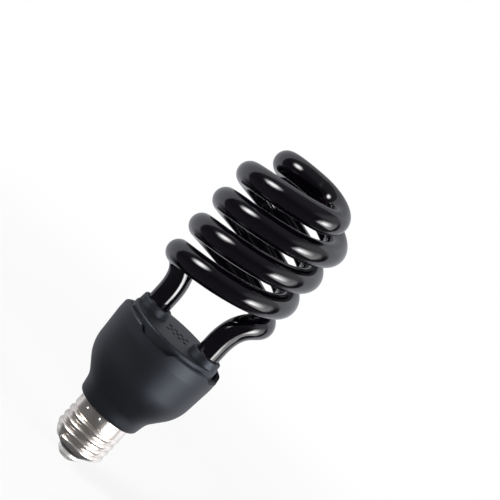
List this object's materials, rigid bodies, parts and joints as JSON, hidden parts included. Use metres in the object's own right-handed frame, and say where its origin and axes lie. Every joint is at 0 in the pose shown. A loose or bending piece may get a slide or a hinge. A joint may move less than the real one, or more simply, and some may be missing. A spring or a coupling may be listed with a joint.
{
  "type": "compact fluorescent black light lamp",
  "caption": "Screw-in compact fluorescent black light lamp: a half spiral of black glass tube on a flared plastic housing with a screw cap.",
  "frame": {"origin": "lowest point of the centre contact, on the axis of the lamp", "axes": "+Z along the axis of the lamp from the cap to the top of the spiral; -Y is the front, as in the picture"},
  "size_m": [0.0602, 0.0602, 0.1684],
  "materials": {
    "black_glass": "very glossy black glass that passes only ultraviolet and deep violet",
    "housing_plastic": "satin charcoal moulding",
    "nickel_plate": "bright nickel plate on brass sheet",
    "insulator_glass": "glossy black moulded insulator",
    "contact_solder": "tinned brass",
    "cement": "black bonding cement",
    "board_laminate": "paper laminate with copper on one side",
    "tinned_copper": "tinned wire",
    "capacitor_sleeve": "shrink sleeve",
    "ferrite": "pressed ferrite",
    "bobbin_plastic": "moulded spool",
    "enamelled_wire": "enamelled copper wire",
    "wire_cover": "insulated wire",
    "moulded_epoxy": "moulded epoxy",
    "film_case": "dipped film capacitor",
    "resistor_lacquer": "lacquered ceramic"
  },
  "bodies": {
    "root": {"cap_insulator": "insulator_glass", "centre_contact": "contact_solder", "choke_bobbin": "bobbin_plastic", "choke_core": "ferrite", "choke_winding": "enamelled_wire", "circuit_board": "board_laminate", "contact_wire": "wire_cover", "coupling_capacitor": "film_case", "discharge_tube": "black_glass", "filter_coil": "enamelled_wire", "front_transistor": "moulded_epoxy", "fuse_resistor": "resistor_lacquer", "left_leg_cement": "cement", "left_tube_leads": "tinned_copper", "lower_shell": "housing_plastic", "rear_transistor": "moulded_epoxy", "rectifier_diodes": "moulded_epoxy", "reservoir_capacitor": "capacitor_sleeve", "resistors": "resistor_lacquer", "right_leg_cement": "cement", "right_tube_leads": "tinned_copper", "screw_shell": "nickel_plate", "shell_wire": "wire_cover", "start_capacitor": "film_case", "terminal_pins": "tinned_copper", "thermistor": "resistor_lacquer", "top_cover": "housing_plastic", "transformer_ring": "ferrite", "transformer_winding": "wire_cover"}
  },
  "joints": []
}
